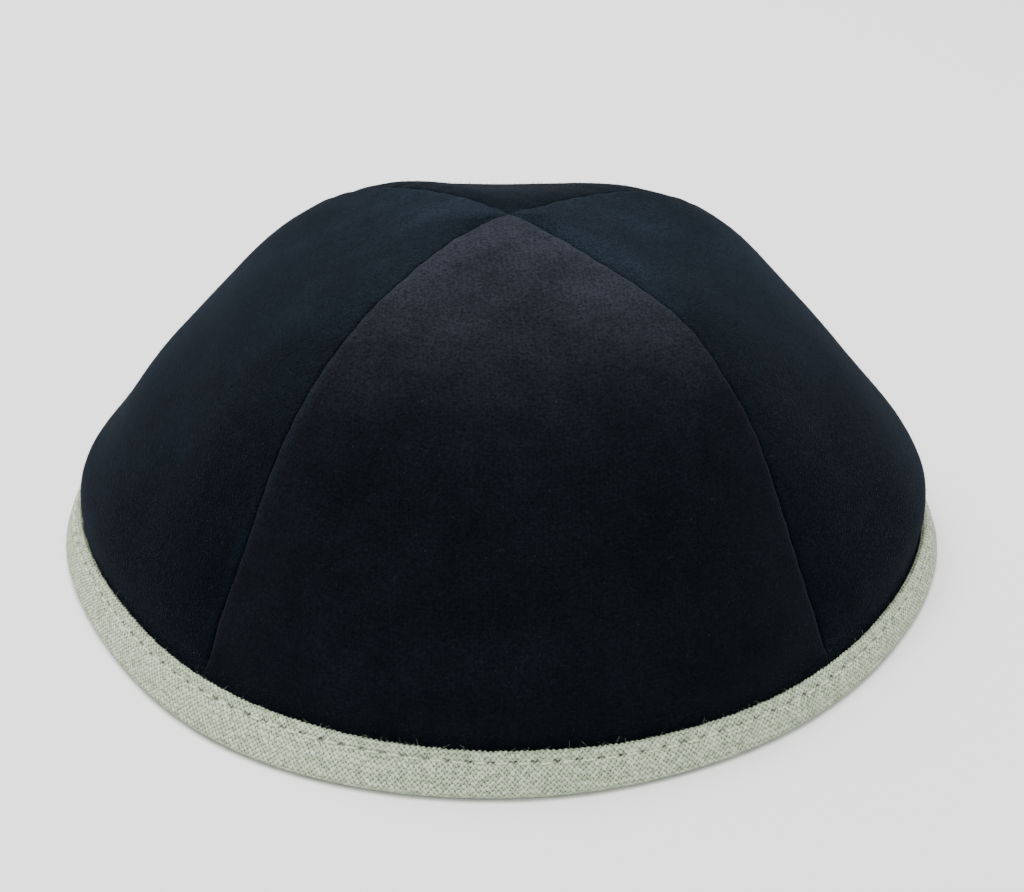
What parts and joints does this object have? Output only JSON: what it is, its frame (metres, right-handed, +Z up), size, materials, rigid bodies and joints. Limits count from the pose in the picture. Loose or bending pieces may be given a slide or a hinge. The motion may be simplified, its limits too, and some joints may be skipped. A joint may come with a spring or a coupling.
{
  "type": "kippah skullcap",
  "caption": "Soft domed skullcap of velvet wedge panels seamed at the crown, with a linen binding folded round its open rim.",
  "frame": {"origin": "middle of the rim's outline, on the surface that the rim rests on", "axes": "+Z up through the crown, the front panel faces -Y, +X to the wearer's left"},
  "size_m": [0.1728, 0.1724, 0.068],
  "materials": {
    "velvet": "dark navy black cotton velvet with a short pile",
    "linen": "matte sage green linen, cut on the bias"
  },
  "bodies": {
    "root": {"panel_front": "velvet", "panel_right": "velvet", "panel_back": "velvet", "panel_left": "velvet", "rim_binding": "linen"}
  },
  "joints": []
}
